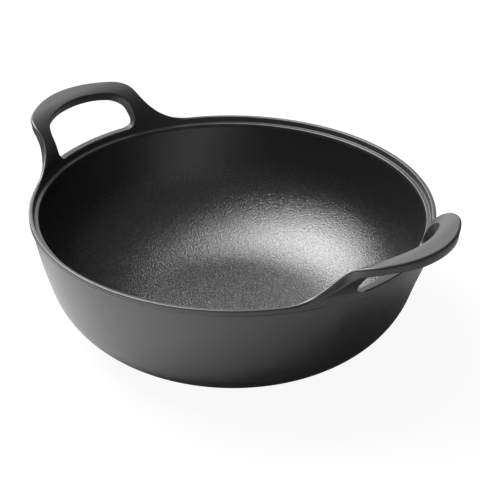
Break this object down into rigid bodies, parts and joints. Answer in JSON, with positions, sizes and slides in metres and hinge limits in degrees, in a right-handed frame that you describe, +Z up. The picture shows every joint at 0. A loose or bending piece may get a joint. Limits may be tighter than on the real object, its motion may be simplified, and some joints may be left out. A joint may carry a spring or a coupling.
{
  "type": "cast iron wok",
  "caption": "Round flat-based cast iron wok with a lid ledge inside its rim, curled loop handles cast on the rim and a black enamel cooking surface.",
  "frame": {"origin": "centre of the flat base, on the surface that the wok stands on", "axes": "+Z up out of the bowl, +X through the middle of the right handle, +Y across"},
  "size_m": [0.3046, 0.245, 0.1089],
  "materials": {
    "satin_iron": "satin black coat over cast iron",
    "cooking_enamel": "matt black enamel with a fine stipple"
  },
  "bodies": {
    "root": {"bowl": "satin_iron", "right_handle": "satin_iron", "left_handle": "satin_iron", "interior_enamel": "cooking_enamel"}
  },
  "joints": []
}
